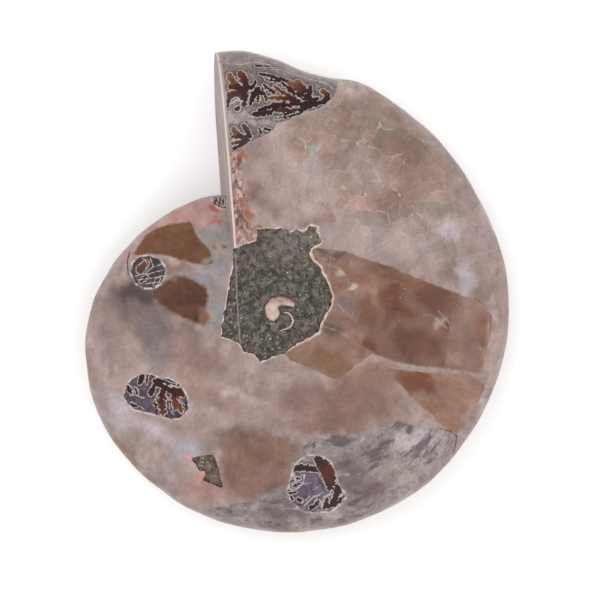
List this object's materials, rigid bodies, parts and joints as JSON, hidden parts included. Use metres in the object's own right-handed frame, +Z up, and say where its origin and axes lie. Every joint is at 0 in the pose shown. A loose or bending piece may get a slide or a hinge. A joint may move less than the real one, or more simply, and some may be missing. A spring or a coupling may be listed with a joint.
{
  "type": "ammonite fossil",
  "caption": "Polished coiled ammonite shell fossil with a sawn mouth and a sandstone-filled umbilicus, lying on its flank.",
  "frame": {"origin": "middle of the footprint, on the ground flat that the fossil rests on", "axes": "+Z up out of the shown flank, parallel to the coil axis; +Y from the coil axis towards the tip of the mouth; the coil grows anticlockwise seen from +Z"},
  "size_m": [0.0798, 0.0898, 0.0221],
  "materials": {
    "fossil_shell": "polished calcite and aragonite",
    "sandstone": "rough, gritty"
  },
  "bodies": {
    "root": {"ammonite_whorls": "fossil_shell", "umbilicus_matrix": "sandstone", "umbilicus_matrix_underside": "sandstone", "flank_matrix_pocket": "sandstone"}
  },
  "joints": []
}
